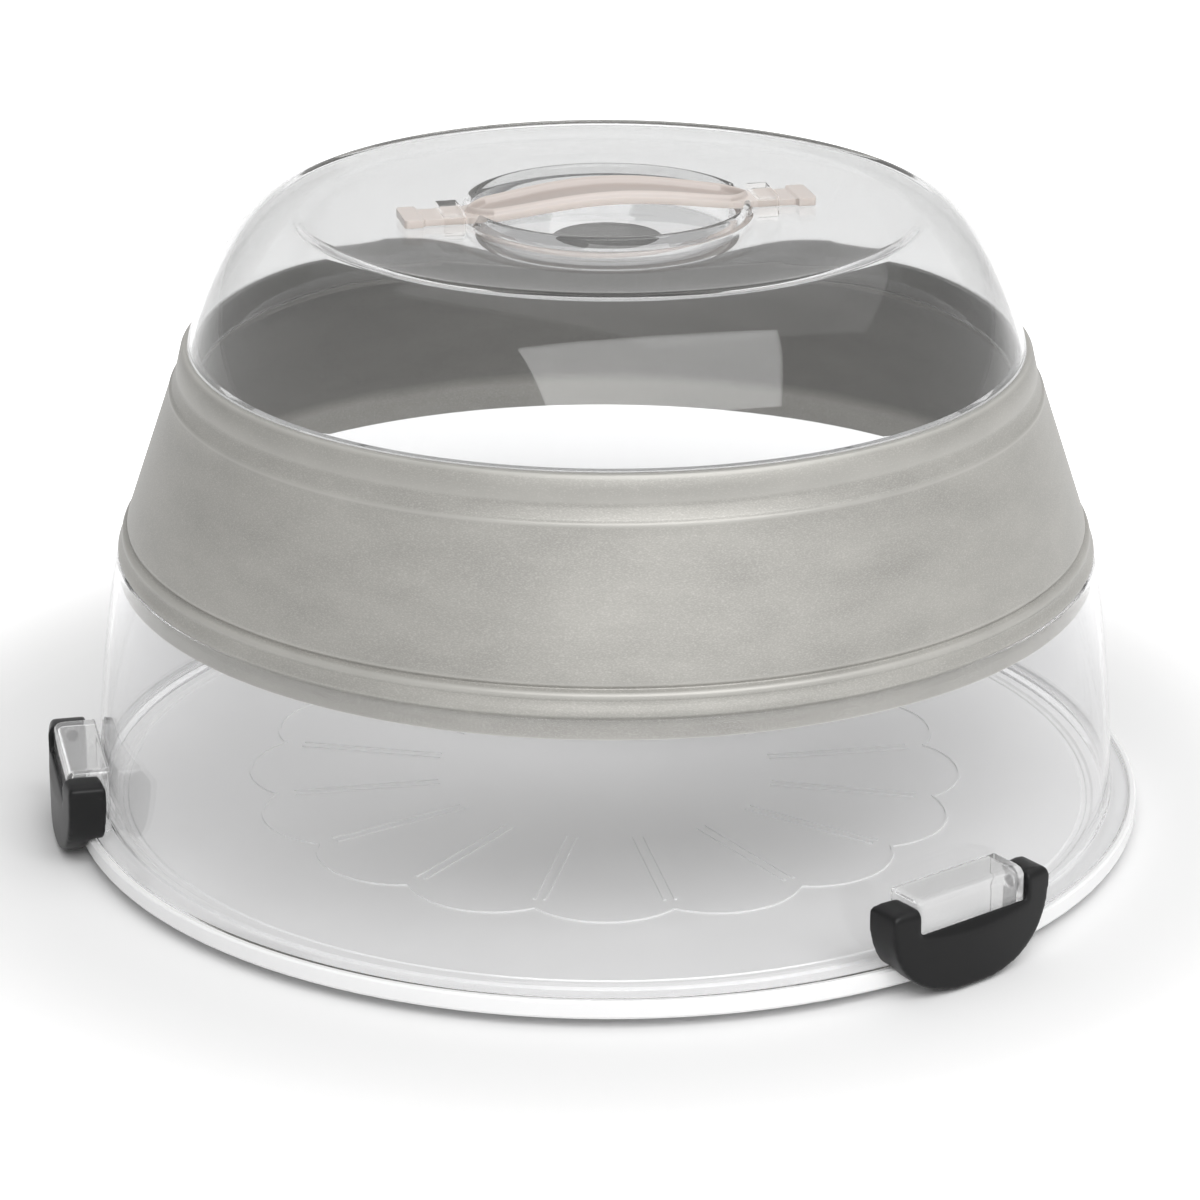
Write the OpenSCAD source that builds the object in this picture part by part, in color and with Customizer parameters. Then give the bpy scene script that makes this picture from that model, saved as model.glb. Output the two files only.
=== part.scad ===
// Round cake carrier: a tray, a clear ring with three hook latches, a folding band and a
// clear dome with a strap handle. Millimetres, +Z up, origin under the middle of the tray.

/* [Tray] */
// Outer radius of the tray
tray_r = 175; // [150:1:200]
// Height of the tray's rim above the table
rim_h = 9.2; // [8.8:0.1:10.2]
// Height of the rim's lower edge above the table
skirt_z = 3.4; // [3.2:0.1:3.8]
// Width of the flat lip round the top of the rim
lip_w = 2.2; // [1.8:0.1:3]
// Thickness of the tray's mouldings
tray_wall = 2.2; // [1.8:0.1:2.6]
// Height of the cake floor above the table
floor_z = 7.4; // [7.2:0.1:8]
// Width of the channel that takes the ring's flange
channel_w = 8.6; // [7:0.2:11]
// How far the foot ring under the tray stands in from the tray's edge
foot_in = 25; // [18:1:60]
// Radius of the middle foot
mid_foot_r = 24; // [15:1:40]
// Number of scallops moulded round the cake floor
scallops = 16; // [10:1:20]
// Radius of the arc of each scallop
scallop_r = 28; // [24:0.5:32]
// Radius of the ring that the scallops' centres lie on
scallop_ring_r = 90; // [80:0.5:94]
// Height of the scallop ribs above the floor
scallop_h = 0.5; // [0.3:0.1:0.8]
// Width of the scallop ribs
rib_w = 0.9; // [0.7:0.1:1.4]

/* [Clear ring] */
// How far the clear wall stands in from the tray's edge
wall_in = 8.5; // [7.5:0.1:10]
// Thickness of the clear wall
wall_t = 1.9; // [1.5:0.1:2.4]
// Height of the top edge of the clear wall
wall_top_z = 90.6; // [72:0.5:112]
// How far the wall leans in from foot to top edge
wall_lean = 9.1; // [7:0.1:11]
// Thickness of the foot flange
flange_t = 2.2; // [1.8:0.1:2.4]

/* [Folding band] */
// Height of the cone between the two fold lines
cone_h = 46.4; // [36:0.2:52]
// How far the cone leans in from bottom to top
cone_in = 15.3; // [12:0.1:20]
// Thickness of the band's cone
band_t = 1.7; // [1.3:0.1:2.2]
// Depth of the collar inside the clear ring
low_collar_h = 6.6; // [5:0.2:9]
// Height of the bead that sits on the clear ring
bead_h = 3.0; // [2.4:0.1:4]
// Height of the shoulder from the bead to the lower fold line
shoulder_h = 4.9; // [4:0.1:7]
// How far the shoulder runs in to the lower fold line
shoulder_in = 3.7; // [3:0.1:5]
// Height of the collar from the upper fold line to its top edge
top_collar_h = 12.3; // [10:0.1:15]

/* [Dome] */
// Height from the dome's joint line to its crest
dome_h = 44.6; // [36:0.5:55]
// How far the dome's raised crest lies in from its foot
crest_in = 30.4; // [26:0.2:36]
// Thickness of the dome
dome_t = 2.0; // [1.6:0.1:2.4]
// Drop from the crest to the flat top inside it
top_drop = 3.6; // [2:0.2:5]
// Inner radius of the finger well
well_r = 42.5; // [40:0.5:46]
// Height of the rim round the finger well
well_rim_h = 4.0; // [2:0.2:5]
// Depth of the finger well below the flat top
well_depth = 8.5; // [6:0.5:12]

/* [Handle] */
// Angle of the handle across the carrier, in plan
handle_turn = 13; // [0:1:30]
// Overall length of the strap, end to end
strap_len = 132.4; // [130:0.2:144]
// Width of the strap where it runs through the keepers
strap_w = 13; // [11:0.5:15]
// Thickness of the strap
strap_t = 2.0; // [1.6:0.1:2.4]
// Width of the grip at its middle
grip_w = 22.5; // [20:0.5:26]
// Height of the raised lip along each edge of the grip
grip_lip_h = 1.9; // [1:0.1:2.4]
// Width of that lip
lip_in = 2.8; // [2.4:0.1:4]
// Rise of the arch from the keepers to the middle
arch_h = 4.8; // [3:0.2:8]
// Length of the part of the grip that stays straight when lifted
grip_mid_len = 46; // [36:1:56]
// Length of each keeper along the strap
keeper_len = 6.6; // [5:0.2:8]
// Thickness of the keeper's walls
keeper_t = 1.8; // [1.5:0.1:2.4]
// Travel of each strap end through its keeper
end_travel = 6; // [4:0.5:6]

/* [Latches] */
// Azimuth of the first latch, in degrees from +X
latch_az = -52.5; // [-70:0.5:-40]
// Half the width of a latch
latch_half_w = 31; // [30:0.5:34]
// Height of the latch's top above the table
latch_top_z = 30.5; // [30:0.5:32]
// Height of the rounded tops of the latch's ears
ear_round = 3.4; // [3:0.2:5]
// Gap between the latch's lower edge and the table
latch_gap_z = 0.5; // [0.4:0.1:0.6]
// Thickness of the latch's face at its middle
face_t = 3; // [2.4:0.1:3.4]
// Thickness of the wall along the latch's curved edge
edge_t = 2.6; // [2:0.1:3]
// Half the width of the clear lug between the latch's ears
lug_half_w = 20.9; // [18:0.5:22]
// How far the lug stands out from the tray's rim
lug_out = 4.6; // [4.2:0.1:5.4]
// Radius of the round on the lug, centred on the hinge
lug_round = 6; // [5.6:0.1:6.4]
// Height of the hinge axis above the table
hinge_z = 26; // [25.4:0.1:26.6]
// Radius of the hinge's stub pins
pin_r = 2.0; // [1.6:0.1:2.2]
// Half the width of the hook under the rim
hook_half_w = 11; // [8:0.5:13]
// Thickness of the hook
hook_t = 2; // [1.4:0.1:2.2]

/* [Fits] */
// Seat clearance between pieces that sit on each other
seat = 0.3; // [0.2:0.05:0.5]
// Running clearance of a pin in its hole
run = 0.06; // [0.03:0.01:0.1]

/* [Hidden] */
$fn = 96;

// Tray: the channel's outer and inner radius, and the height of its floor
channel_out = tray_r - lip_w;
channel_in = channel_out - channel_w;
channel_z = rim_h - flange_t;
under_z = channel_z - tray_wall;
foot_r = tray_r - foot_in;
skirt_w = 2.0;
foot_w = 2.4;
ledge_w = 3;
floor_edge_r = channel_in - ledge_w;
groove_w = 1.6;
groove_d = 0.5;

// Clear ring
wall_r = tray_r - wall_in;
flange_r = channel_out - seat;
flange_z = channel_z + seat;
flange_top_z = flange_z + flange_t;
foot_round = 3;

// Folding band: the fold line above the bead, and the fold line under the dome
wall_top_r = wall_r - wall_lean;
bead_top_z = wall_top_z + seat + bead_h;
low_fold_r = wall_top_r - shoulder_in;
low_fold_z = bead_top_z + shoulder_h;
top_fold_r = low_fold_r - cone_in;
top_fold_z = low_fold_z + cone_h;
collar_top_z = top_fold_z + top_collar_h;

// Dome: its foot stands on the shelf inside the band's top collar
dome_r = top_fold_r - 5;
dome_foot_r = dome_r - 1.9;
shelf_z = top_fold_z + 1.5;
shelf_t = 1.6;
dome_foot_z = shelf_z + seat;
joint_z = collar_top_z + seat;
crest_r = dome_r - crest_in;
crest_z = joint_z + dome_h;
top_z = crest_z - top_drop;
crease_r = crest_r - 6.5;
well_floor_z = top_z - well_depth;
well_edge_r = well_r + 4.2;

// Handle: heights of the strap's underside at its ends and of the keepers
strap_low = top_z + seat;
keeper_in = well_r + 4.6;
keeper_out = keeper_in + keeper_len;
half_strap = strap_len / 2;
stop_in = keeper_out + end_travel + seat;
stop_extra = 3.6;
half_mid = grip_mid_len / 2;
half_web = keeper_in - 1.2;
boat_end = half_web - 0.2;
trough_end = boat_end - 1.5 * lip_in;

// Latches: the hinge's distance from the carrier's axis
face_r = tray_r + lug_out + face_t;
lug_front = tray_r + lug_out;
hinge_r = lug_front - lug_round;
ear_back_r = hinge_r - pin_r - 0.8;
latch_az_step = 122.75;
lug_wall = 1.8;
notch_half = lug_half_w + seat;
notch_z = hinge_z - 3.8;
rim_clear = 0.5;
hook_top_z = skirt_z - 0.4;
hook_low_z = hook_top_z - hook_t;
hook_tip_r = tray_r - skirt_w + 0.2;
widest_z = latch_top_z - ear_round;
latch_h = widest_z - latch_gap_z;
fullness = 2.4;

// The lug stays inside the sweep of the latch's edge wall, which passes under it
edge_z = widest_z - (latch_h - edge_t)
    * pow(1 - pow(notch_half / (latch_half_w - edge_t), fullness), 1 / fullness);
lug_sweep = hinge_z - max(edge_z + seat, rim_h + rim_clear);
lug_low_z = hinge_z - lug_sweep;

white = [0.93, 0.93, 0.93];
clear = [0.88, 0.92, 0.94, 0.35];
grey = [0.68, 0.67, 0.64];
strap_colour = [0.82, 0.78, 0.75];
black = [0.12, 0.12, 0.12];

// Points along an arc in the section plane, from angle a to angle b
function arc(x, z, r, a, b, n = 8) =
    [for (i = [0 : n]) let (t = a + (b - a) * i / n) [x + r * cos(t), z + r * sin(t)]];

// Points along a curve that starts at p, ends at s and is pulled towards q and r
function curve(p, q, r, s, n = 12) =
    [for (i = [0 : n]) let (t = i / n, u = 1 - t)
        u * u * u * p + 3 * u * u * t * q + 3 * u * t * t * r + t * t * t * s];

function unit(v) = v / norm(v);

// Direction of a path at one of its points
function heading(path, i) =
    unit(path[min(i + 1, len(path) - 1)] - path[max(i - 1, 0)]);

// The same path moved d to its right
function beside(path, d) =
    [for (i = [0 : len(path) - 1]) let (h = heading(path, i)) path[i] + d * [h[1], -h[0]]];

function reversed(path) = [for (i = [len(path) - 1 : -1 : 0]) path[i]];

// Places its children at a latch, with +X outwards and +Y along the rim
module at_latch(index) {
    rotate([0, 0, latch_az + latch_az_step * index])
        children();
}

// Extrudes a section drawn outwards and up, evenly to both sides of the latch's middle
module across(half_w) {
    rotate([90, 0, 0])
        linear_extrude(2 * half_w, center = true)
            children();
}

// One moulded tray: lip, channel, ledge and floor above, skirt and feet below
module base_tray() {
    color(white)
    difference() {
        union() {
            rotate_extrude()
                polygon([
                    [0, under_z], [foot_r - foot_w, under_z],
                    [foot_r - foot_w, 0], [foot_r, 0], [foot_r, under_z],
                    [tray_r - skirt_w, under_z], [tray_r - skirt_w, skirt_z],
                    [tray_r - 0.5, skirt_z], [tray_r, skirt_z + 0.8],
                    [tray_r, rim_h - 0.6], [tray_r - 0.6, rim_h],
                    [channel_out + 0.4, rim_h], [channel_out, rim_h - 0.4],
                    [channel_out, channel_z], [channel_in, channel_z],
                    [channel_in - 0.6, floor_z + 0.6], [floor_edge_r, floor_z + 0.6],
                    [floor_edge_r - 0.8, floor_z],
                    [floor_edge_r - 2, floor_z], [floor_edge_r - 2.4, floor_z - groove_d],
                    [floor_edge_r - 2 - groove_w, floor_z - groove_d],
                    [floor_edge_r - 2.4 - groove_w, floor_z],
                    [0, floor_z]
                ]);
            cylinder(r = mid_foot_r, h = under_z + 0.2);
            floor_scallops();
        }
    }
}

// Ribs that draw a ring of scallops on the cake floor, with a pair of spokes between lobes
module floor_scallops() {
    step = 360 / scallops;
    translate([0, 0, floor_z - 0.3])
        difference() {
            lobes(scallop_r, scallop_h + 0.3);
            translate([0, 0, -1]) lobes(scallop_r - rib_w, scallop_h + 3);
        }
    for (i = [0 : scallops - 1])
        for (y = [-1.7, 1.7])
            rotate([0, 0, step * (i + 0.5)])
                translate([0.62 * scallop_ring_r, y - rib_w / 2, floor_z - 0.3])
                    cube([0.53 * scallop_ring_r, rib_w, scallop_h + 0.3]);
}

// Ring of overlapping discs, filled in the middle
module lobes(r, h) {
    for (i = [0 : scallops - 1])
        rotate([0, 0, 360 * i / scallops])
            translate([scallop_ring_r, 0, 0]) cylinder(r = r, h = h);
    cylinder(r = scallop_ring_r, h = h);
}

// Outer face of the clear wall, from the flange up
function wall_path() = concat(
    arc(wall_r + foot_round, flange_top_z + foot_round, foot_round, -90, -180, 5),
    curve([wall_r, flange_top_z + foot_round + 1],
          [wall_r - 0.12 * wall_lean, flange_top_z + 0.39 * (wall_top_z - flange_top_z)],
          [wall_top_r + 0.48 * wall_lean, wall_top_z - 0.23 * (wall_top_z - flange_top_z)],
          [wall_top_r, wall_top_z], 12));

// Clear ring with its flange and three hollow lugs for the latches
module lower_ring() {
    wall = wall_path();
    inner = beside(wall, -wall_t);
    color(clear)
    difference() {
        union() {
            rotate_extrude()
                polygon(concat(
                    [[0, flange_z], [flange_r - 0.3, flange_z], [flange_r, flange_z + 0.3],
                     [flange_r, flange_top_z - 0.3], [flange_r - 0.3, flange_top_z]],
                    wall, [[0, wall_top_z]]));
            for (i = [0 : 2])
                at_latch(i) lug_solid();
        }
        rotate_extrude()
            polygon(concat([[0, flange_z - 1], [wall_r - wall_t, flange_z - 1]],
                           [for (p = inner) if (p[1] > flange_top_z + foot_round) p],
                           [[wall_top_r - wall_t, wall_top_z + 1], [0, wall_top_z + 1]]));
        for (i = [0 : 2])
            at_latch(i) lug_hollow();
    }
}

// Lug seen from the side: flat front, round about the hinge above and below
module lug_solid() {
    across(lug_half_w)
        polygon(concat(
            [[wall_r - wall_t - 2, lug_low_z]],
            arc(hinge_r, hinge_z, lug_sweep, -90, -acos(lug_round / lug_sweep), 6),
            arc(hinge_r, hinge_z, lug_round, 0, 90, 10),
            [[wall_r - wall_t - 2, hinge_z + lug_round]]));
}

// Hollow of the lug, open below, and the holes for the stub pins
module lug_hollow() {
    difference() {
        across(lug_half_w - lug_wall)
            polygon(concat(
                [[wall_r - wall_t, lug_low_z - 1], [lug_front - lug_wall, lug_low_z - 1]],
                arc(hinge_r, hinge_z, lug_round - lug_wall, 0, 90, 10),
                [[wall_r - wall_t, hinge_z + lug_round - lug_wall]]));
        cylinder(r = wall_r + 0.2, h = wall_top_z);
    }
    translate([hinge_r, 0, hinge_z])
        rotate([90, 0, 0])
            cylinder(r = pin_r + run, h = 2 * lug_half_w + 2, center = true, $fn = 48);
}

// Flexible band: collar and bead below, cone with a fold line at each end, collar above
module folding_band() {
    low_r = wall_top_r - wall_t - seat;
    low_in = low_r - 1.8;
    low_z = wall_top_z - low_collar_h;
    flare = 0.13 * wall_lean;
    bead_r = wall_top_r - bead_h / 2;
    color(grey)
    rotate_extrude()
        polygon(concat(
            [[low_in, wall_top_z - 2], [low_in + flare, low_z], [low_r + flare, low_z],
             [low_r, wall_top_z - 2], [low_r, wall_top_z + seat]],
            arc(bead_r, bead_top_z - bead_h / 2, bead_h / 2, -90, 60, 8),
            [[low_fold_r + 2.5, bead_top_z + 0.2], [low_fold_r + 1.4, low_fold_z - 1.1],
             [low_fold_r, low_fold_z], [low_fold_r + 0.6, low_fold_z + 1.2],
             [top_fold_r + 1.2, top_fold_z - 1.8], [top_fold_r + 0.7, top_fold_z - 0.6],
             [top_fold_r, top_fold_z], [top_fold_r - 2, top_fold_z + 3],
             [top_fold_r - 2.5, top_fold_z + 4], [top_fold_r - 2.2, top_fold_z + 4.8],
             [dome_r + 1.8, collar_top_z - 1.2], [dome_r + 0.9, collar_top_z],
             [dome_foot_r + seat, collar_top_z], [dome_foot_r + seat, shelf_z],
             [dome_foot_r - 2.2, shelf_z], [dome_foot_r - 2.2, shelf_z - shelf_t],
             [top_fold_r - band_t - 1.6, shelf_z - shelf_t - 1.4],
             [low_fold_r - band_t, low_fold_z + 0.6], [low_fold_r - band_t, low_fold_z - 1],
             [low_in, bead_top_z - 1]]));
}

// Side of the dome from its joint line to its crest, and from there to the flat top
function dome_side() = concat(
    curve([dome_r, joint_z + 0.3], [dome_r - 3.3, joint_z + 0.27 * dome_h],
          [crest_r + 0.57 * (dome_r - crest_r), joint_z + 0.89 * dome_h], [crest_r, crest_z], 16),
    curve([crest_r - 1.6, crest_z - 0.1], [crest_r - 4, crest_z - 0.4],
          [crease_r + 0.6, crest_z - 0.62 * top_drop], [crease_r - 0.6, crest_z - 0.7 * top_drop], 4),
    curve([crease_r - 2, crest_z - 0.74 * top_drop], [crease_r - 8, top_z + 0.1],
          [crease_r - 16, top_z], [crease_r - 22, top_z], 5));

// Wall of the finger well, from the flat top down to its floor
function well_side() =
    curve([well_r, top_z - 1], [well_r - 1, well_floor_z + 2],
          [well_r - 4, well_floor_z], [well_r - 13, well_floor_z], 8);

// Clear dome with a raised crest and a flat top, up to the edge of the finger well
module dome() {
    color(clear)
    difference() {
        rotate_extrude()
            polygon(concat(
                [[dome_foot_r - dome_t, dome_foot_z], [dome_foot_r, dome_foot_z],
                 [dome_foot_r, joint_z - 0.1], [dome_r - 0.2, joint_z]],
                dome_side(),
                [[well_edge_r, top_z], [well_edge_r, top_z - dome_t]],
                reversed(beside(dome_side(), -dome_t)),
                [[dome_foot_r - dome_t, joint_z]]));
        at_keepers() keeper_holes();
    }
}

// Finger well in the middle of the dome's top, with a rim that lets the strap through
module finger_well() {
    under = [for (p = beside(well_side(), -dome_t)) if (p[1] < top_z - dome_t - 0.3) p];
    color(clear)
    difference() {
        rotate_extrude()
            polygon(concat(
                [[well_edge_r, top_z - dome_t], [well_edge_r, top_z], [well_r + 3.6, top_z]],
                arc(well_r + 1.6, top_z + well_rim_h - 1.2, 1.2, 10, 170, 6),
                well_side(),
                [[0, well_floor_z], [0, well_floor_z - dome_t]],
                reversed(under)));
        at_keepers()
            translate([well_r - 2, -strap_w / 2 - 3.5, top_z])
                cube([8, strap_w + 7, well_rim_h + 5]);
    }
}

// Places its children at both ends of the strap
module at_keepers() {
    for (side = [0, 180])
        rotate([0, 0, handle_turn + side])
            children();
}

keeper_gap = strap_w / 2 + seat;
keeper_half = keeper_gap + keeper_t;
leg_deep = dome_t + 1.2;

// Two slots through the dome's top for the keeper's legs
module keeper_holes() {
    for (y = [-1, 1])
        translate([keeper_in - 0.1, y * (keeper_gap + keeper_t / 2) - keeper_t / 2 - 0.1, top_z - 6])
            cube([keeper_len + 0.2, keeper_t + 0.2, 9]);
}

// Clear loop that holds the strap down: a flat bridge on two barbed legs
module keeper(side) {
    bridge_z = strap_low + strap_t + seat;
    color(clear)
    rotate([0, 0, handle_turn + side])
        translate([keeper_in + keeper_len / 2, 0, 0])
            rotate([90, 0, 90])
                linear_extrude(keeper_len, center = true)
                    polygon(concat(
                        [[-keeper_gap, top_z - leg_deep], [-keeper_gap, bridge_z],
                         [keeper_gap, bridge_z], [keeper_gap, top_z - leg_deep],
                         [keeper_half - 0.4, top_z - leg_deep],
                         [keeper_half + 0.5, top_z - dome_t - 0.3],
                         [keeper_half, top_z - dome_t - 0.3]],
                        arc(keeper_half - 1.2, bridge_z + keeper_t - 1.2, 1.2, 0, 90, 5),
                        arc(-keeper_half + 1.2, bridge_z + keeper_t - 1.2, 1.2, 90, 180, 5),
                        [[-keeper_half, top_z - dome_t - 0.3],
                         [-keeper_half - 0.5, top_z - dome_t - 0.3],
                         [-keeper_half + 0.4, top_z - leg_deep]]));
}

// Height of the strap's underside at a distance s along it
function strap_z(s) =
    abs(s) >= keeper_in ? strap_low
    : strap_low + arch_h * pow(cos(90 * abs(s) / keeper_in), 1.5);

// Half the grip's width at a distance s along it
function grip_half(s) =
    strap_w / 2 + (grip_w - strap_w) / 2 * sqrt(max(0, 1 - pow(s / (keeper_in - 1.5), 2)));

// The strap from s = a to s = b, from low to high above its underside
module strap_side(a, b, low, high, n) {
    rotate([90, 0, 0])
        linear_extrude(grip_w + 4, center = true)
            polygon(concat(
                [for (i = [0 : n]) let (s = a + (b - a) * i / n) [s, strap_z(s) + low]],
                [for (i = [n : -1 : 0]) let (s = a + (b - a) * i / n) [s, strap_z(s) + high]]));
}

// Half the width of the raised boat on the grip, with a pointed end
function boat_half(s, margin) =
    min(grip_half(s) - 0.4 - margin, boat_end + 0.8 - 1.5 * margin - abs(s));

// Upright block of the grip's plan, from its half widths at even steps from s = a to s = b
module plan_block(a, b, halves) {
    n = len(halves) - 1;
    translate([0, 0, top_z - 10])
        linear_extrude(60)
            polygon(concat(
                [for (i = [0 : n]) [a + (b - a) * i / n, -halves[i]]],
                [for (i = [n : -1 : 0]) [a + (b - a) * i / n, halves[i]]]));
}

// One length of the grip: a flat strap with a raised boat on it, hollowed to a trough
module grip_length(a, b, n) {
    boat_b = min(b, boat_end);
    low = a - 0.01;
    high = min(b + 0.01, trough_end);
    difference() {
        union() {
            intersection() {
                strap_side(a, b, 0, strap_t, n);
                plan_block(a, b, [for (i = [0 : n]) grip_half(a + (b - a) * i / n)]);
            }
            intersection() {
                strap_side(a, boat_b, 0.2, strap_t + grip_lip_h, n);
                plan_block(a, boat_b, [for (i = [0 : n]) boat_half(a + (boat_b - a) * i / n, 0)]);
            }
        }
        intersection() {
            strap_side(low, high, strap_t, strap_t + grip_lip_h + 3, n);
            plan_block(low, high, [for (i = [0 : n]) boat_half(low + (high - low) * i / n, lip_in)]);
        }
    }
}

// Middle of the grip
module handle_grip() {
    color(strap_colour)
    rotate([0, 0, handle_turn])
        grip_length(-half_mid, half_mid, 16);
}

// Bending length of the strap between the grip's middle and a keeper
module strap_bend(side) {
    color(strap_colour)
    rotate([0, 0, handle_turn + side])
        grip_length(half_mid, half_web, 12);
}

module strap_left() strap_bend(180);

module strap_right() strap_bend(0);

// End of the strap: it slides in its keeper, up to its thicker stop
module strap_end(side) {
    stop_len = half_strap - stop_in;
    wide = strap_w / 2 + stop_extra / 2;
    color(strap_colour)
    rotate([0, 0, handle_turn + side]) {
        translate([half_web, -strap_w / 2, strap_low])
            cube([half_strap - half_web - 1, strap_w, strap_t]);
        translate([stop_in, 0, strap_low])
            linear_extrude(strap_t + 1.4)
                polygon([[0, -wide], [stop_len - 1.2, -wide], [stop_len, 1.2 - wide],
                         [stop_len, wide - 1.2], [stop_len - 1.2, wide], [0, wide]]);
    }
}

module strap_end_left() strap_end(180);

module strap_end_right() strap_end(0);

// Point of a full, rounded curve with the given half width and height, at angle t
function full_point(w, h, t) =
    [w * sign(cos(t)) * pow(abs(cos(t)), 2 / fullness), h * sign(sin(t)) * pow(abs(sin(t)), 2 / fullness)];

// Outline of the latch seen from the front, drawn in by the given margin
module half_moon(margin, top) {
    n = 40;
    w = latch_half_w - margin;
    polygon(concat(
        [for (i = [0 : n]) let (p = full_point(w, latch_h - margin, 180 + 180 * i / n))
            [p[0], widest_z + p[1]]],
        [for (i = [1 : 15]) let (t = 180 * i / 16)
            [w * sign(cos(t)) * pow(abs(cos(t)), 0.4), widest_z + (ear_round + top) * pow(sin(t), 0.4)]]));
}

// The same outline pushed through the latch from its back to its front
module half_moon_block(margin, from, to, top) {
    translate([from, 0, 0])
        rotate([90, 0, 90])
            linear_extrude(to - from)
                half_moon(margin, top);
}

// Black latch: curved face, two ears with stub pins, and a hook that goes under the rim
module latch(index) {
    back_r = ear_back_r;
    color(black)
    at_latch(index)
    union() {
        difference() {
            intersection() {
                half_moon_block(0, hinge_r - 20, face_r + 4, 0);
                rotate([0, 0, -30])
                    rotate_extrude(angle = 60)
                        polygon([[back_r, 0], [face_r - 0.8, 0], [face_r, 0.8],
                                 [face_r, latch_top_z - 3], [face_r - 0.9, latch_top_z - 0.9],
                                 [face_r - 3, latch_top_z], [back_r, latch_top_z]]);
            }
            latch_cavity();
            rim_space();
            translate([lug_front - 12, -notch_half, notch_z]) cube([30, 2 * notch_half, 20]);
            thumb_ledge();
        }
        hook();
        for (y = [-1, 1])
            translate([hinge_r, y * (notch_half + 1), hinge_z])
                rotate([90 * y, 0, 0])
                    cylinder(r = pin_r, h = lug_wall + seat + 1, $fn = 48);
    }
}

// Hollow behind the face, inside the latch's edge wall
module latch_cavity() {
    intersection() {
        half_moon_block(edge_t, hinge_r - 21, lug_front + seat, 1);
        translate([hinge_r - 22, -notch_half, hook_top_z]) cube([60, 2 * notch_half, 40]);
    }
}

// Room for the tray's rim behind the latch's lower part
module rim_space() {
    cylinder(r = tray_r + rim_clear, h = rim_h + 1);
}

// Sloping ledge for the thumb along the top of the face
module thumb_ledge() {
    across(notch_half)
        polygon([[lug_front + seat - 0.01, notch_z + 1], [face_r + 3, notch_z + 1],
                 [face_r + 3, notch_z - 5.2], [face_r, notch_z - 3.6],
                 [lug_front + seat + 0.8, notch_z]]);
}

// Tongue that catches under the tray's rim
module hook() {
    intersection() {
        half_moon_block(0, hinge_r - 20, face_r - 1, 0);
        difference() {
            translate([0, 0, hook_low_z]) cylinder(r = face_r - 1, h = hook_t);
            translate([0, 0, -1]) cylinder(r = hook_tip_r, h = hook_top_z + 5);
        }
        translate([hinge_r - 20, -hook_half_w, 0]) cube([60, 2 * hook_half_w, 10]);
    }
}

base_tray();
lower_ring();
folding_band();
dome();
finger_well();
keeper(180);  // keeper_left
keeper(0);  // keeper_right
handle_grip();
strap_left();
strap_right();
strap_end_left();
strap_end_right();
latch(0);  // latch_right
latch(1);  // latch_back
latch(2);  // latch_left
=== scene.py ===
"""A round cake carrier on a pale floor.

White tray, clear ring with hook latches, folding band, and clear dome with a strap handle.
"""

import math

import bmesh
import bpy
from mathutils import Matrix, Vector


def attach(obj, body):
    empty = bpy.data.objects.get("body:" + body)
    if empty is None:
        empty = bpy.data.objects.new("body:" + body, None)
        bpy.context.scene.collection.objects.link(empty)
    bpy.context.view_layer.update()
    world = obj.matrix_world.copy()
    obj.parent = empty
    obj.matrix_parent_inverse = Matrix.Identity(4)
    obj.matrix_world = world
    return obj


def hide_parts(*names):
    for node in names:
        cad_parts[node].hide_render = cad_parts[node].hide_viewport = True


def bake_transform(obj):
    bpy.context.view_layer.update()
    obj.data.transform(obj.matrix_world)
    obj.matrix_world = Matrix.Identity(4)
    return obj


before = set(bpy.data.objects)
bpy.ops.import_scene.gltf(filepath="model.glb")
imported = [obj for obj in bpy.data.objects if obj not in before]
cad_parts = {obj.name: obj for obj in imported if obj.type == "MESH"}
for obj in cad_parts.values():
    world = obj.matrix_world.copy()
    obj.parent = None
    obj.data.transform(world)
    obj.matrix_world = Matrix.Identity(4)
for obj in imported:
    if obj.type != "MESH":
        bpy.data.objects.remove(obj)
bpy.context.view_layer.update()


# The studio: a wide pale floor that fades to white and keeps the carrier's shadow, a broad
# soft box in front, a smaller one overhead, and the camera a little above the carrier's top.
floor_mesh = bpy.data.meshes.new("studio_floor")
bm = bmesh.new()
floor_half, floor_drop = 9.0, 0.0004
bmesh.ops.create_grid(bm, x_segments=1, y_segments=1, size=floor_half)
bmesh.ops.translate(bm, verts=bm.verts, vec=(0, 0, -floor_drop))
bm.to_mesh(floor_mesh)
bm.free()
studio_floor = bpy.data.objects.new("studio_floor", floor_mesh)
bpy.context.collection.objects.link(studio_floor)


def seen_directly(nodes, links, mirrored=1.0):
    """1 for what the camera sees straight or through clear plastic.

    In a reflection it is the given share of that.
    """
    path = nodes.new("ShaderNodeLightPath")
    total = path.outputs["Is Camera Ray"]
    for ray, share in (("Is Glossy Ray", mirrored), ("Is Transmission Ray", 1.0)):
        add = nodes.new("ShaderNodeMath")
        add.operation = "MULTIPLY_ADD"
        add.use_clamp = True
        add.inputs[1].default_value = share
        links.new(path.outputs[ray], add.inputs[0])
        links.new(total, add.inputs[2])
        total = add.outputs[0]
    return total


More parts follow.
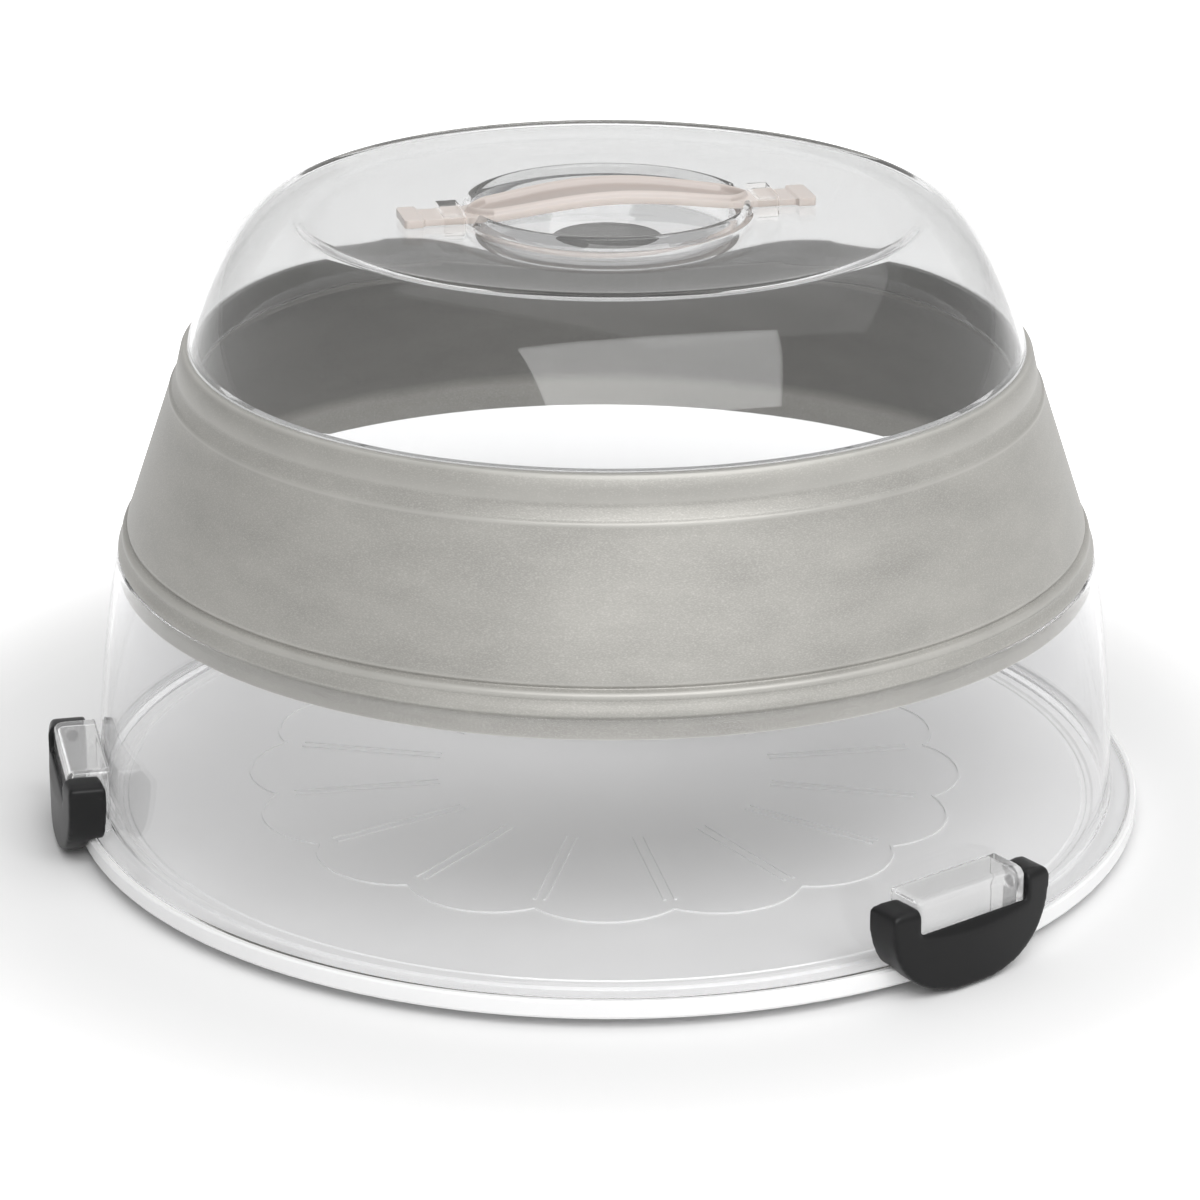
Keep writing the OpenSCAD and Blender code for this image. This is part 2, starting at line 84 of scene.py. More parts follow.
floor_paint = bpy.data.materials.new("studio_floor_paint")
floor_paint.use_nodes = True
nodes, links = floor_paint.node_tree.nodes, floor_paint.node_tree.links
nodes.clear()
matt = nodes.new("ShaderNodeBsdfDiffuse")
matt.inputs["Color"].default_value = (0.9, 0.9, 0.9, 1)
lift = nodes.new("ShaderNodeEmission")
lift.inputs["Color"].default_value = (1, 1, 1, 1)
place = nodes.new("ShaderNodeTexCoord")
reach = nodes.new("ShaderNodeVectorMath")
reach.operation = "LENGTH"
links.new(place.outputs["Object"], reach.inputs[0])
fade = nodes.new("ShaderNodeMapRange")
fade.interpolation_type = "SMOOTHSTEP"
fade.inputs["From Min"].default_value = 0.185
fade.inputs["From Max"].default_value = 0.4
fade.inputs["To Min"].default_value = 0.02
fade.inputs["To Max"].default_value = 0.9
links.new(reach.outputs["Value"], fade.inputs["Value"])
strength = nodes.new("ShaderNodeMath")
strength.operation = "MULTIPLY"
links.new(fade.outputs["Result"], strength.inputs[1])
links.new(seen_directly(nodes, links, 0.5), strength.inputs[0])
links.new(strength.outputs[0], lift.inputs["Strength"])
both = nodes.new("ShaderNodeAddShader")
links.new(matt.outputs[0], both.inputs[0])
links.new(lift.outputs[0], both.inputs[1])
out = nodes.new("ShaderNodeOutputMaterial")
links.new(both.outputs[0], out.inputs["Surface"])
floor_mesh.materials.append(floor_paint)

world = bpy.data.worlds.new("studio_world")
bpy.context.scene.world = world
world.use_nodes = True
nodes, links = world.node_tree.nodes, world.node_tree.links
nodes.clear()
air = nodes.new("ShaderNodeBackground")
air.inputs["Color"].default_value = (1, 1, 1, 1)
level = nodes.new("ShaderNodeMapRange")
level.inputs["To Min"].default_value = 0.3
level.inputs["To Max"].default_value = 1.0
links.new(seen_directly(nodes, links, 0.4), level.inputs["Value"])
links.new(level.outputs["Result"], air.inputs["Strength"])
out = nodes.new("ShaderNodeOutputWorld")
links.new(air.outputs[0], out.inputs["Surface"])


def soft_box(name, place, target, width, height, power):
    """A rectangular studio lamp that looks at a point."""
    lamp = bpy.data.lights.new(name, "AREA")
    lamp.shape = "RECTANGLE"
    lamp.size, lamp.size_y = width, height
    lamp.energy = power
    holder = bpy.data.objects.new(name, lamp)
    bpy.context.collection.objects.link(holder)
    aim = (Vector(target) - Vector(place)).to_track_quat("-Z", "Y")
    holder.matrix_world = Matrix.Translation(place) @ aim.to_matrix().to_4x4()


soft_box("front_box", (0.55, -1.75, 1.95), (0, 0, 0.08), 3.0, 1.7, 58)
soft_box("top_box", (0.5, 0.4, 2.1), (0, 0, 0.1), 3.2, 2.6, 15)

camera_data = bpy.data.cameras.new("photo_camera")
camera_data.lens = 120
camera_data.sensor_width = 36
camera = bpy.data.objects.new("photo_camera", camera_data)
bpy.context.collection.objects.link(camera)
bpy.context.scene.camera = camera
camera_tilt = math.radians(20.95)
camera_roll = math.radians(0.22)
forward = Vector((0, math.cos(camera_tilt), -math.sin(camera_tilt)))
camera_up = Vector((0, math.sin(camera_tilt), math.cos(camera_tilt)))
camera_right = Vector((1, 0, 0)) * math.cos(camera_roll) + camera_up * math.sin(camera_roll)
camera_up = camera_right.cross(forward)
turn = Matrix((camera_right, camera_up, -forward)).transposed()
camera_place = (-0.00185, -1.2209, 0.5350)
camera.matrix_world = Matrix.Translation(camera_place) @ turn.to_4x4()
bpy.context.scene.view_settings.view_transform = "Standard"


# The tray: one injection moulding in white polypropylene, glossy on the rim and very finely
# grained on the cake floor. It stands on a foot ring and a middle foot moulded under it.
def moulded(name, colour, rough, grain, depth, cloud=0.05, squeeze=1.0):
    """Moulded plastic: a cloudy variation in colour and gloss, and a fine surface grain.

    grain is in marks per metre, depth in metres, squeeze flattens the marks into level streaks.
    """
    material = bpy.data.materials.new(name)
    material.use_nodes = True
    tree = material.node_tree
    shader = tree.nodes["Principled BSDF"]
    place = tree.nodes.new("ShaderNodeTexCoord")
    flatten = tree.nodes.new("ShaderNodeMapping")
    flatten.inputs["Scale"].default_value = (1, 1, squeeze)
    tree.links.new(place.outputs["Object"], flatten.inputs["Vector"])
    clouds = tree.nodes.new("ShaderNodeTexNoise")
    clouds.inputs["Scale"].default_value = grain / 30
    clouds.inputs["Detail"].default_value = 4
    clouds.inputs["Roughness"].default_value = 0.6
    marks = tree.nodes.new("ShaderNodeTexNoise")
    marks.inputs["Scale"].default_value = grain
    marks.inputs["Detail"].default_value = 2
    for texture in (clouds, marks):
        tree.links.new(flatten.outputs["Vector"], texture.inputs["Vector"])
    tint = tree.nodes.new("ShaderNodeValToRGB")
    tint.color_ramp.elements[0].position = 0.3
    tint.color_ramp.elements[1].position = 0.7
    tint.color_ramp.elements[0].color = (*(c * (1 - cloud) for c in colour), 1)
    tint.color_ramp.elements[1].color = (*(min(1, c * (1 + cloud)) for c in colour), 1)
    tree.links.new(clouds.outputs["Fac"], tint.inputs["Fac"])
    tree.links.new(tint.outputs["Color"], shader.inputs["Base Color"])
    gloss = tree.nodes.new("ShaderNodeMapRange")
    gloss.inputs["To Min"].default_value = rough * 0.88
    gloss.inputs["To Max"].default_value = rough * 1.12
    tree.links.new(clouds.outputs["Fac"], gloss.inputs["Value"])
    tree.links.new(gloss.outputs["Result"], shader.inputs["Roughness"])
    relief = tree.nodes.new("ShaderNodeBump")
    relief.inputs["Strength"].default_value = 0.5
    relief.inputs["Distance"].default_value = depth
    tree.links.new(marks.outputs["Fac"], relief.inputs["Height"])
    tree.links.new(relief.outputs["Normal"], shader.inputs["Normal"])
    return material, tree, shader


tray_white, tree, shader = moulded("tray_white", (0.97, 0.97, 0.972), rough=0.2, grain=900,
                                   depth=0.00002, cloud=0.012)
shader.inputs["Subsurface Weight"].default_value = 0.2
shader.inputs["Subsurface Radius"].default_value = (0.0035, 0.0035, 0.0035)
shader.inputs["Subsurface Scale"].default_value = 1.0
tray_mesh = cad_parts["base_tray"].data
tray_mesh.materials.clear()
tray_mesh.materials.append(tray_white)


# The clear ring: crystal-clear moulded plastic, 1.9 mm thick, with a foot flange that lies in
# the tray's channel. Three hollow lugs, open below, are moulded on it for the latches' pins.
def bow(r, z, radius, start, end, steps):
    """Points of an arc in a moulding's section, angles in degrees."""
    turns = [math.radians(start + (end - start) * i / steps) for i in range(steps + 1)]
    return [(r + radius * math.cos(t), z + radius * math.sin(t)) for t in turns]


def sweep(p, q, r, s, steps):
    """Points of a smooth curve from p to s, pulled towards q and r."""
    points = []
    for i in range(steps + 1):
        t = i / steps
        u = 1 - t
        points.append(tuple(u**3 * a + 3 * u * u * t * b + 3 * u * t * t * c + t**3 * d
                            for a, b, c, d in zip(p, q, r, s)))
    return points


def inward(path, wall):
    """The same path a wall's thickness to its left."""
    moved = []
    for i, point in enumerate(path):
        before, after = path[max(i - 1, 0)], path[min(i + 1, len(path) - 1)]
        along = (Vector(after) - Vector(before)).normalized()
        moved.append((point[0] - wall * along.y, point[1] + wall * along.x))
    return moved


def spun(section, steps=240, closed=True, soften=0.0):
    """A moulding that is round about the carrier's axis, from its section in millimetres."""
    bm = bmesh.new()
    rim = [bm.verts.new((r / 1000, 0, z / 1000)) for r, z in section]
    lines = [bm.edges.new(pair) for pair in zip(rim, rim[1:])]
    if closed:
        lines.append(bm.edges.new((rim[-1], rim[0])))
    bmesh.ops.spin(bm, geom=rim + lines, cent=(0, 0, 0), axis=(0, 0, 1), dvec=(0, 0, 0),
                   angle=math.tau, steps=steps, use_merge=True, use_duplicate=False)
    bmesh.ops.remove_doubles(bm, verts=bm.verts, dist=0.000002)
    bmesh.ops.recalc_face_normals(bm, faces=bm.faces)
    if soften:
        round_edges(bm, soften)
    return bm


def round_edges(bm, size, angle=38, segments=2):
    """Takes the sharpness off the edges where two faces meet at more than the given angle."""
    sharp = [edge for edge in bm.edges
             if len(edge.link_faces) == 2 and edge.calc_face_angle(0) > math.radians(angle)]
    bmesh.ops.bevel(bm, geom=sharp, offset=size, offset_type="OFFSET", segments=segments,
                    profile=0.5, affect="EDGES", clamp_overlap=True, material=-1)


def smooth_shaded(mesh, angle=36):
    """Shades a mesh smooth, apart from edges sharper than an angle in degrees."""
    mesh.shade_smooth()
    mesh.set_sharp_from_angle(angle=math.radians(angle))


def made(name, bm, material, smooth=36):
    """Turns the mesh into a piece of the carrier, shaded smooth with crisp edges."""
    mesh = bpy.data.meshes.new(name)
    bm.to_mesh(mesh)
    bm.free()
    mesh.materials.append(material)
    smooth_shaded(mesh, smooth)
    piece = bpy.data.objects.new(name, mesh)
    bpy.context.collection.objects.link(piece)
    return piece


def with_modifiers(piece):
    """The mesh that a piece's modifiers make. The modifiers are taken off the piece."""
    bpy.context.view_layer.update()
    seen = piece.evaluated_get(bpy.context.evaluated_depsgraph_get())
    result = bpy.data.meshes.new_from_object(seen)
    piece.modifiers.clear()
    return result


def drilled(piece, cutter):
    """Cuts the shape of one mesh out of a piece and throws the cutter away."""
    tool = bpy.data.objects.new("cutter", bpy.data.meshes.new("cutter"))
    cutter.to_mesh(tool.data)
    cutter.free()
    bpy.context.collection.objects.link(tool)
    cut = piece.modifiers.new("cut", "BOOLEAN")
    cut.operation = "DIFFERENCE"
    cut.solver = "EXACT"
    cut.object = tool
    result = with_modifiers(piece)
    old = piece.data
    name = old.name
    piece.data = result
    bpy.data.meshes.remove(old)
    result.name = name
    bpy.data.objects.remove(tool)
    smooth_shaded(result)


def relaxed(piece, size, passes):
    """Rebuilds a piece from small even faces and relaxes them, which rounds all its edges."""
    even = piece.modifiers.new("even", "REMESH")
    even.mode = "VOXEL"
    even.voxel_size = size
    result = with_modifiers(piece)
    bm = bmesh.new()
    bm.from_mesh(result)
    for _ in range(passes):
        bmesh.ops.smooth_vert(bm, verts=bm.verts, factor=0.5,
                              use_axis_x=True, use_axis_y=True, use_axis_z=True)
    bm.to_mesh(piece.data)
    bm.free()
    bpy.data.meshes.remove(result)
    piece.data.shade_smooth()


def clear_moulded(name, colour, rough, ior, gloss, shade, clear=1.0):
    """Clear plastic: bends what is seen through it, and lets lamp light straight through.

    gloss is the strength of its surface reflection, shade what is left of the lamp's light.
    A ray that has met many walls goes straight on too, or it would end dark inside one.
    """
    material, tree, shader = moulded(name, colour, rough, 160, 0.00001, cloud=0.01)
    shader.inputs["Transmission Weight"].default_value = clear
    shader.inputs["IOR"].default_value = ior
    shader.inputs["Coat Weight"].default_value = gloss
    shader.inputs["Coat Roughness"].default_value = rough
    path = tree.nodes.new("ShaderNodeLightPath")
    deep = tree.nodes.new("ShaderNodeMath")
    deep.operation = "GREATER_THAN"
    most_walls = 4
    deep.inputs[1].default_value = most_walls
    tree.links.new(path.outputs["Ray Depth"], deep.inputs[0])
    lit = deep
    for ray in ("Is Shadow Ray", "Is Diffuse Ray"):
        either = tree.nodes.new("ShaderNodeMath")
        either.operation = "MAXIMUM"
        tree.links.new(lit.outputs[0], either.inputs[0])
        tree.links.new(path.outputs[ray], either.inputs[1])
        lit = either
    through = tree.nodes.new("ShaderNodeBsdfTransparent")
    through.inputs["Color"].default_value = (shade, shade, shade, 1)
    mix = tree.nodes.new("ShaderNodeMixShader")
    tree.links.new(lit.outputs[0], mix.inputs["Fac"])
    tree.links.new(shader.outputs[0], mix.inputs[1])
    tree.links.new(through.outputs[0], mix.inputs[2])
    tree.links.new(mix.outputs[0], tree.nodes["Material Output"].inputs["Surface"])
    return material


ring_clear = clear_moulded("ring_clear", (0.875, 0.875, 0.88), rough=0.02, ior=1.1,
                           gloss=0.4, shade=0.98)
wall_r, wall_top_r, wall_top_z, wall_t = 166.5, 157.4, 90.6, 1.9
flange_r, flange_z, flange_top_z, foot_round = 172.5, 7.3, 9.5, 3
edge_round = 0.0003
wall = bow(wall_r + foot_round, flange_top_z + foot_round, foot_round, -90, -180, 6) + sweep(
    (wall_r, flange_top_z + 4), (wall_r - 1.1, 41.1), (wall_top_r + 4.4, 71.9),
    (wall_top_r, wall_top_z), 22)
inside = [point for point in inward(wall, wall_t) if point[1] > flange_top_z + foot_round]
ring_section = ([(wall_r - wall_t, flange_z), (flange_r, flange_z), (flange_r, flange_top_z)]
                + wall + inside[::-1])
clear_ring = made("clear_ring", spun(ring_section, soften=edge_round), ring_clear)
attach(clear_ring, "lid_ring")
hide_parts("lower_ring")

lug_milky = clear_moulded("lug_milky", (0.95, 0.95, 0.95), rough=0.06, ior=1.28,
                          gloss=0.5, shade=0.95, clear=0.86)
hinge_r, hinge_z, lug_round, lug_corner, lug_low_z = 173.6, 26.0, 6.0, 3, 9.7
# Half the lug's width, its wall and the bore for the latch's pins, in metres.
lug_half, lug_wall, bore_r, bore_length = 0.0209, 0.0018, 0.00206, 0.06
lug_sweep = hinge_z - lug_low_z
lug_low_end = -math.degrees(math.acos(lug_round / lug_sweep))
latch_turns = {"right": -52.5, "back": 70.25, "left": 193.0}
for side, azimuth in latch_turns.items():
    facing = Matrix.Rotation(math.radians(azimuth), 3, "Z")
    back = wall_r - 0.6
    sideways = ([(back, lug_low_z)]
                + bow(hinge_r, hinge_z, lug_sweep, -90, lug_low_end, 6)
                + bow(hinge_r + lug_corner, hinge_z + lug_corner, lug_round - lug_corner, 0, 90, 8)
                + [(back, hinge_z + lug_round)])
    bm = bmesh.new()
    face = bm.faces.new([bm.verts.new((x / 1000, -lug_half, z / 1000)) for x, z in sideways])
    pushed = bmesh.ops.extrude_face_region(bm, geom=[face])["geom"]
    bmesh.ops.translate(bm, verts=[v for v in pushed if isinstance(v, bmesh.types.BMVert)],
                        vec=(0, 2 * lug_half, 0))
    bmesh.ops.recalc_face_normals(bm, faces=bm.faces)
    opened = [f for f in bm.faces if f.normal.x < -0.9 or f.normal.z < -0.9]
    bmesh.ops.delete(bm, geom=opened, context="FACES_ONLY")
    bmesh.ops.solidify(bm, geom=bm.faces, thickness=lug_wall)
    bmesh.ops.recalc_face_normals(bm, faces=bm.faces)
    bmesh.ops.rotate(bm, verts=bm.verts, cent=(0, 0, 0), matrix=facing)
    lug = made("clear_lug_" + side, bm, lug_milky)
    bore = bmesh.new()
    bmesh.ops.create_cone(bore, cap_ends=True, segments=40, radius1=bore_r, radius2=bore_r,
                          depth=bore_length)
    bmesh.ops.rotate(bore, verts=bore.verts, cent=(0, 0, 0),
                     matrix=Matrix.Rotation(math.radians(90), 3, "X"))
    bmesh.ops.translate(bore, verts=bore.verts, vec=(hinge_r / 1000, 0, hinge_z / 1000))
    bmesh.ops.rotate(bore, verts=bore.verts, cent=(0, 0, 0), matrix=facing)
    drilled(lug, bore)
    relaxed(lug, size=0.0004, passes=6)
    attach(lug, "lid_ring")
    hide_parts("lower_ring")


# The folding band: one soft moulding in warm grey silicone rubber. Its collar grips inside the
# clear ring, its cone turns over between two thinner fold lines, and its top holds the dome.
def paint_shade(tree, shader, colour, attribute, factor):
    """Paints shade: multiplies a material's colour by a factor where a mesh attribute says so."""
    where = tree.nodes.new("ShaderNodeAttribute")
    where.attribute_name = attribute
    darker = tree.nodes.new("ShaderNodeMix")
    darker.data_type = "RGBA"
    darker.blend_type = "MULTIPLY"
    darker.inputs["B"].default_value = (*factor, 1)
    tree.links.new(where.outputs["Fac"], darker.inputs["Factor"])
    tree.links.new(colour, darker.inputs["A"])
    tree.links.new(darker.outputs["Result"], shader.inputs["Base Color"])


band_grey, tree, shader = moulded("band_grey", (0.375, 0.366, 0.342), rough=0.42, grain=700,
                                  depth=0.00005, cloud=0.1, squeeze=3)
shader.inputs["Metallic"].default_value = 0.25
# Pale marks: dust specks, and the edges rubbed paler with a painted highlight along each fold and
# rim.
worn_and_highlit = tree.nodes.new("ShaderNodeAttribute")
worn_and_highlit.attribute_name = "wear_and_highlight"
specks = tree.nodes.new("ShaderNodeTexNoise")
specks.inputs["Scale"].default_value = 1500
specks.inputs["Detail"].default_value = 1
tree.links.new(tree.nodes["Mapping"].outputs["Vector"], specks.inputs["Vector"])
dusty = tree.nodes.new("ShaderNodeMapRange")
dusty.inputs["From Min"].default_value = 0.45
dusty.inputs["From Max"].default_value = 0.8
dusty.inputs["To Max"].default_value = 0.3
tree.links.new(specks.outputs["Fac"], dusty.inputs["Value"])
specks_wear_and_highlight = tree.nodes.new("ShaderNodeMath")
specks_wear_and_highlight.operation = "MAXIMUM"
tree.links.new(worn_and_highlit.outputs["Fac"], specks_wear_and_highlight.inputs[0])
tree.links.new(dusty.outputs["Result"], specks_wear_and_highlight.inputs[1])
paler = tree.nodes.new("ShaderNodeMix")
paler.data_type = "RGBA"
tree.links.new(specks_wear_and_highlight.outputs[0], paler.inputs["Factor"])
tree.links.new(tree.nodes["Color Ramp"].outputs["Color"], paler.inputs["A"])
paler.inputs["B"].default_value = (0.78, 0.77, 0.73, 1)
# Painted shade: the band's inner faces, marked by the inside attribute, are coloured at half
# brightness.
paint_shade(tree, shader, paler.outputs["Result"], "inside", (0.5, 0.5, 0.5))
low_r, low_fold_r, low_fold_z = 155.2, 153.7, 98.8
top_fold_r, top_fold_z, cone_h = 138.4, 145.2, 46.4
dome_r, dome_foot_r, shelf_z, collar_top_z = 133.4, 131.5, 146.7, 157.5
low_collar = [(low_r - 1.8, 88.6), (low_r - 0.6, 84.0), (low_r + 1.2, 84.0), (low_r + 1.1, 84.4),
              (low_r + 0.95, 84.9), (low_r, 88.6), (low_r, 90.7)]
bead = bow(156.2, 91.9, 1.2, -90, 20, 8) + [(156.9, 93.4), (156.3, 94.6)]
shoulder = bow(154.3, 96.7, 1.7, -30, 80, 12) + [(low_fold_r, low_fold_z)]
cone_outside = (
    sweep((low_fold_r, 99.0), (low_fold_r, 99.5),
          (low_fold_r + 0.5, 99.4), (low_fold_r + 0.5, 100.2), 4)
    + sweep((154.0, 101.0), (149.3, 115.0), (144.4, 129.0), (top_fold_r + 1.3, 143.0), 14)
    + sweep((top_fold_r + 1.2, 143.6), (top_fold_r + 1.1, 144.6),
            (top_fold_r + 0.2, 144.6), (top_fold_r, top_fold_z), 4))
top_collar = [(top_fold_r - 1.1, 148.2), (top_fold_r - 1.5, 149.2), (top_fold_r - 1.4, 150.0),
              (dome_r + 2.1, 156.3), (dome_r + 1.2, collar_top_z),
              (dome_foot_r + 0.3, collar_top_z)]
shelf = [(dome_foot_r + 0.3, shelf_z), (dome_foot_r - 2.2, shelf_z),
         (dome_foot_r - 2.2, shelf_z - 1.6)]
cone_inside = (
    sweep((top_fold_r - 3.3, 143.7), (141.0, 128.0), (146.0, 115.0), (low_fold_r - 1.7, 99.4), 12)
    + [(low_fold_r - 1.7, 97.8), (low_r - 1.8, 92.9)])
bm = spun(low_collar + bead + shoulder + cone_outside + top_collar + shelf + cone_inside,
          soften=edge_round)
# Radius, height, width and strength of the edges that are rubbed paler and given a painted
# highlight.
worn_and_highlit_edges = ((156.4, 84.0, 0.3, 0.7), (155.9, 97.6, 0.9, 0.2), (154.1, 100.3, 0.4, 0.15),
              (139.3, 143.8, 0.5, 0.3), (136.0, 150.2, 0.4, 0.25), (134.5, 157.3, 0.5, 0.3))
# Painted highlight and wear: how strongly each vertex near a listed edge is lightened.
wear_and_highlight = bm.verts.layers.float.new("wear_and_highlight")
# The inside attribute marks the band's inner faces, where shade is painted.
inside_shade = bm.verts.layers.float.new("inside")
for vert in bm.verts:
    radius, height = vert.co.xy.length * 1000, vert.co.z * 1000
    up_cone = min(1, max(0, (height - low_fold_z) / cone_h))
    middle = low_fold_r - 0.9 + (top_fold_r - low_fold_r) * up_cone
    if height >= top_fold_z:
        middle = dome_foot_r + 0.5
    vert[inside_shade] = 1.0 if radius < middle else 0.0
    for edge_r, edge_z, width, strength in worn_and_highlit_edges:
        away = ((height - edge_z) / width) ** 2 + ((radius - edge_r) / 1.5) ** 2
        vert[wear_and_highlight] = max(vert[wear_and_highlight], strength * math.exp(-away))
band = made("band", bm, band_grey, smooth=40)
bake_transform(band)
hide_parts("folding_band")


# The dome: clear plastic, 2 mm thick, moulded with a raised crest, a flat top and a round
# finger well whose rim dips where the strap crosses it. Its foot sits in the band's collar.
def ease(x):
    """Goes smoothly from 0 to 1 as x does."""
    x = min(1, max(0, x))
    return x * x * (3 - 2 * x)


dome_clear = clear_moulded("dome_clear", (0.735, 0.737, 0.737), rough=0.03, ior=1.06,
                           gloss=0.7, shade=0.96)
joint_z, crest_r, crest_z, top_z = 157.8, 103.0, 202.4, 198.8
crease_r, well_r, well_floor_z = 96.5, 42.5, 190.3
dome_t, well_rim = 2, 1.2
dome_side = (
    sweep((dome_r, joint_z + 0.3), (dome_r - 3.3, joint_z + 12.0), (120.3, joint_z + 39.7),
          (crest_r, crest_z), 28)
    + sweep((crest_r - 1.6, crest_z - 0.1), (crest_r - 4, crest_z - 0.4),
            (crease_r + 0.6, crest_z - 2.2), (crease_r - 0.6, crest_z - 2.5), 7)
    + sweep((crease_r - 2, crest_z - 2.7), (crease_r - 8, top_z + 0.1),
            (crease_r - 16, top_z), (crease_r - 22, top_z), 7))
well_side = (
    sweep((well_r, top_z - 1), (well_r - 0.6, well_floor_z + 2), (well_r - 1.4, well_floor_z),
          (well_r - 6, well_floor_z), 12)
    + [(well_r - 6.6, well_floor_z), (well_r - 7.5, well_floor_z)])
dome_foot = [(dome_foot_r - 2, joint_z), (dome_foot_r - 2, 147.0), (dome_foot_r, 147.0),
             (dome_foot_r, joint_z - 0.1), (dome_r - 0.2, joint_z)]
dome_section = (
    [(0, well_floor_z - dome_t)] + inward(well_side, -dome_t)[::-1]
    + inward(dome_side, dome_t)[::-1]
    + dome_foot + dome_side + [(well_r + 5, top_z), (well_r + 3.6, top_z)]
    + bow(well_r + 1.6, top_z + 2.8, well_rim, 10, 170, 10) + well_side + [(0, well_floor_z)])
bm = spun(dome_section, closed=False)
handle_turn = math.radians(13)
along_strap = Vector((math.cos(handle_turn), math.sin(handle_turn), 0))
across_strap = Vector((-math.sin(handle_turn), math.cos(handle_turn), 0))
dip_half, dip_ease = 8.4, 2.4
for vert in bm.verts:
    radius = vert.co.xy.length * 1000
    if well_r - 2 < radius < well_r + 4.6 and vert.co.z * 1000 > top_z - 1.5:
        off_line = abs(vert.co.dot(across_strap)) * 1000
        dip = ease(1 - (off_line - dip_half) / dip_ease)
        vert.co.z -= dip * max(0, vert.co.z - top_z / 1000 + 0.0001)
round_edges(bm, edge_round)
dome = made("clear_dome", bm, dome_clear, smooth=50)
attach(dome, "lid_top")
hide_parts("dome", "finger_well")


# The keepers: two clear clips that snap through the dome's top. Each holds the strap down
# under a flat bridge, with room for it to slide.
def softened(node, name, material, size, passes):
    """A copy of a solid with its edges rounded, as a mould leaves them."""
    bm = bmesh.new()
    bm.from_mesh(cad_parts[node].data)
    bmesh.ops.remove_doubles(bm, verts=bm.verts, dist=0.000004)
    piece = made(name, bm, material)
    relaxed(piece, size, passes)
    return piece


clip_clear = clear_moulded("clip_clear", (0.93, 0.92, 0.91), rough=0.12, ior=1.03,
                           gloss=0.1, shade=0.97)
for side in ("left", "right"):
    clip = softened("keeper_" + side, "strap_clip_" + side, clip_clear, size=0.0002, passes=4)
    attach(clip, "lid_top")
    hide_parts("keeper_" + side)


# The strap handle: one flexible moulding in translucent off-white plastic. A boat-shaped grip
# with a raised rim and a shallow trough, narrow straps at both ends, and a thick stop on each.
strap_white, tree, shader = moulded("strap_white", (0.7, 0.63, 0.588), rough=0.36, grain=520,
                                    depth=0.00004, cloud=0.04)
shader.inputs["Subsurface Weight"].default_value = 0.1
shader.inputs["Subsurface Radius"].default_value = (0.004, 0.003, 0.0025)
shader.inputs["Coat Weight"].default_value = 0.5
shader.inputs["Coat Roughness"].default_value = 0.2
# Painted shade: the grip's trough and a line along the outer foot of its rim are coloured darker.
paint_shade(tree, shader, tree.nodes["Color Ramp"].outputs["Color"], "grip_shade", (0.66, 0.64, 0.635))
strap_low, strap_t, arch_h, half_strap = 199.1, 2.0, 4.8, 66.2
strap_half, grip_swell, boat_half, rim_w, rim_h = 6.5, 4.75, 11.15, 3.4, 1.9
stop_start, stop_swell, stop_rise, stop_round = 59.8, 1.8, 0.5, 1.2
keeper_in = 47.1
boat_end = keeper_in - 1.4
grip_end = keeper_in - 1.5


def strap_under(s):
    """Height of the strap's underside at a distance s from its middle, in millimetres."""
    arch = arch_h * math.cos(math.pi / 2 * s / keeper_in) ** 1.5 if s < keeper_in else 0
    return strap_low + arch


def half_width(s):
    """Half the strap's width at a distance s from its middle."""
    if s < grip_end:
        return strap_half + grip_swell * math.sqrt(1 - (s / grip_end) ** 2)
    stop = stop_swell * ease((s - stop_start) / 0.6)
    corner = max(0, s - (half_strap - stop_round))
    cut = stop_round - math.sqrt(max(0, stop_round ** 2 - corner * corner)) if corner else 0
    return strap_half + stop - cut


def boat(s, y):
    """Distance in from the edge of the boat-shaped grip, which ends in a point at each keeper."""
    if s >= boat_end:
        return -1
    return min(half_width(s) - 0.1, boat_half * (1 - (s / boat_end) ** 9)) - abs(y)


def strap_top(s, y):
    """Height of the top above the underside: strap, round rim of the grip, trough and stop."""
    inside = boat(s, y)
    rim = math.sin(math.pi * min(1, inside / rim_w)) ** 0.8 if 0 < inside < rim_w else 0
    trough = 0.5 * ease((inside - 2.6) / 2)
    return strap_t + rim_h * rim - trough + stop_rise * ease((s - stop_start) / 0.5)


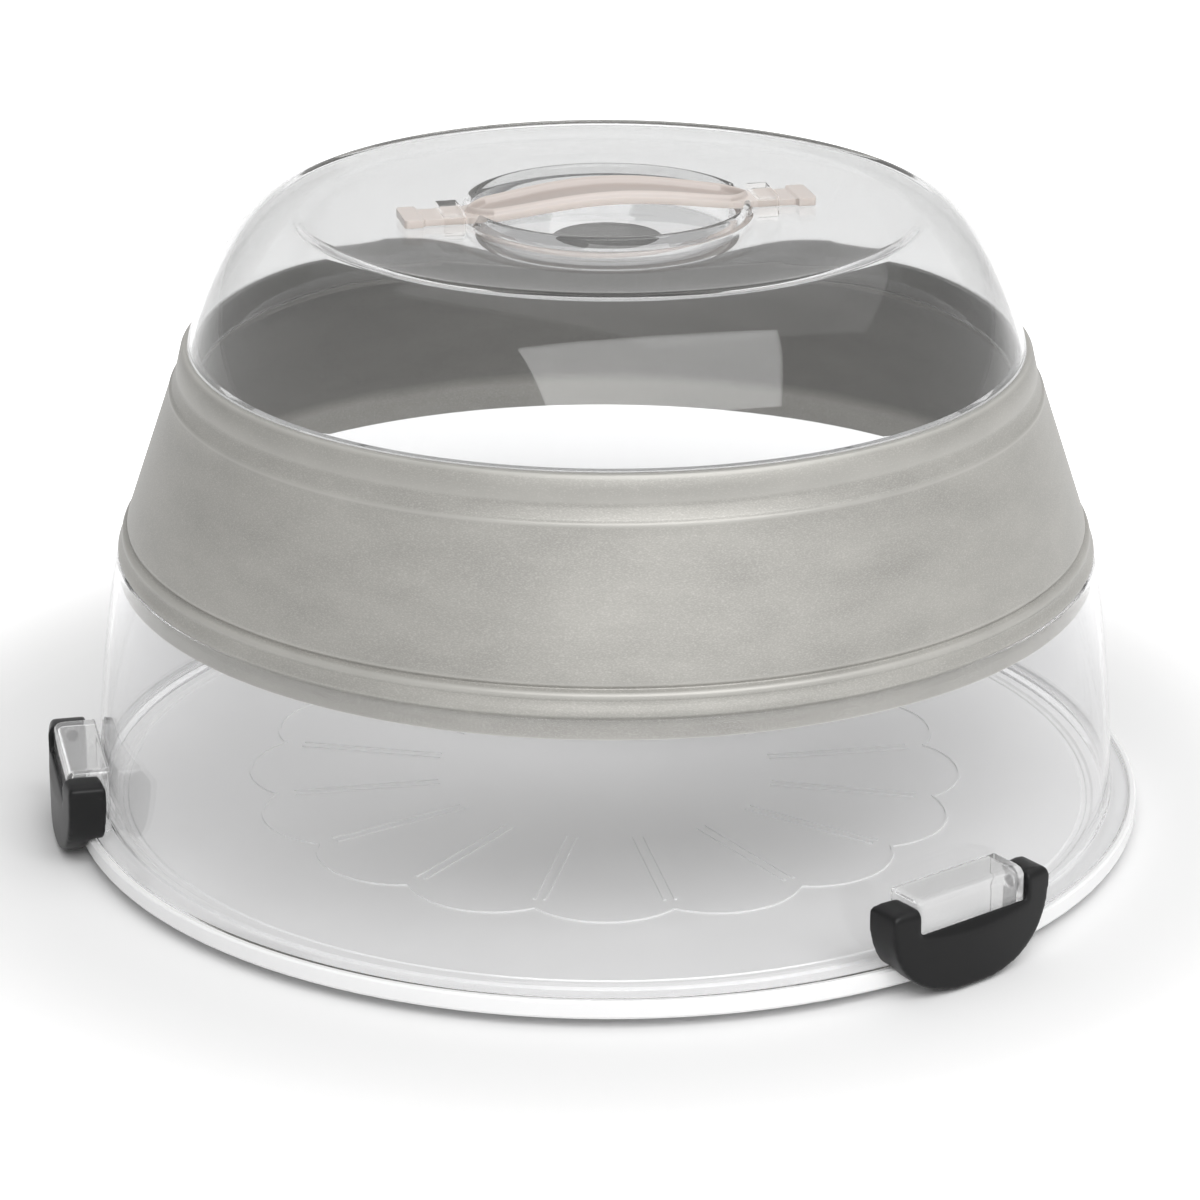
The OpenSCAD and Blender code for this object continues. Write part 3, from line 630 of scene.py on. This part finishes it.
# The grip's middle is one straight length; the strap bends from its end to the keeper.
halves = (("right", handle_turn, along_strap, ("handle_grip", "strap_right", "strap_end_right")),
          ("left", handle_turn + math.pi, -along_strap, ("strap_left", "strap_end_left")))
for side, turned, reach, stands_for in halves:
    bm = bmesh.new()
    bmesh.ops.create_grid(bm, x_segments=160, y_segments=84, size=1.0)
    # How much shade is painted at each point: most in the trough and along the rim's outer foot,
    # less on the rim.
    grip_shade = bm.verts.layers.float.new("grip_shade")
    for vert in bm.verts:
        s = (vert.co.x + 1) / 2 * half_strap
        y = vert.co.y * half_width(s)
        vert.co = Vector((s, y, strap_under(s) + strap_top(s, y))) / 1000
        inside = boat(s, y)
        vert[grip_shade] = (0.4 * ease(inside / 0.2) + 0.6 * ease((inside - 1.9) / 1.3)
                      + 0.5 * ease(inside / 0.2) * (1 - ease((inside - 0.2) / 0.6)))
    pushed = bmesh.ops.extrude_face_region(bm, geom=bm.faces[:])["geom"]
    for vert in pushed:
        if isinstance(vert, bmesh.types.BMVert):
            vert.co.z = strap_under(vert.co.x * 1000) / 1000
    bmesh.ops.recalc_face_normals(bm, faces=bm.faces)
    outer = [edge for edge in bm.edges
             if len(edge.link_faces) == 2 and edge.calc_face_angle(0) > math.radians(60)
             and max(v.co.x for v in edge.verts) > 0.0001]
    bmesh.ops.bevel(bm, geom=outer, offset=0.0004, offset_type="OFFSET", segments=3, profile=0.5,
                    affect="EDGES", clamp_overlap=True, material=-1)
    bmesh.ops.rotate(bm, verts=bm.verts, cent=(0, 0, 0), matrix=Matrix.Rotation(turned, 3, "Z"))
    half = made("strap_half_" + side, bm, strap_white, smooth=50)
    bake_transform(half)
    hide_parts(*stands_for)


# The latches: black moulded plastic with a soft sheen. Each turns on two stub pins in the
# ring's lug, and the hook along its lower edge catches under the tray's rim.
latch_black, tree, shader = moulded("latch_black", (0.008, 0.008, 0.0084), rough=0.36, grain=1500,
                                    depth=0.00002, cloud=0.12)
shader.inputs["Specular IOR Level"].default_value = 0.26
for side in latch_turns:
    latch = softened("latch_" + side, "hook_latch_" + side, latch_black, size=0.0005, passes=14)
    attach(latch, "latch_" + side)
    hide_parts("latch_" + side)
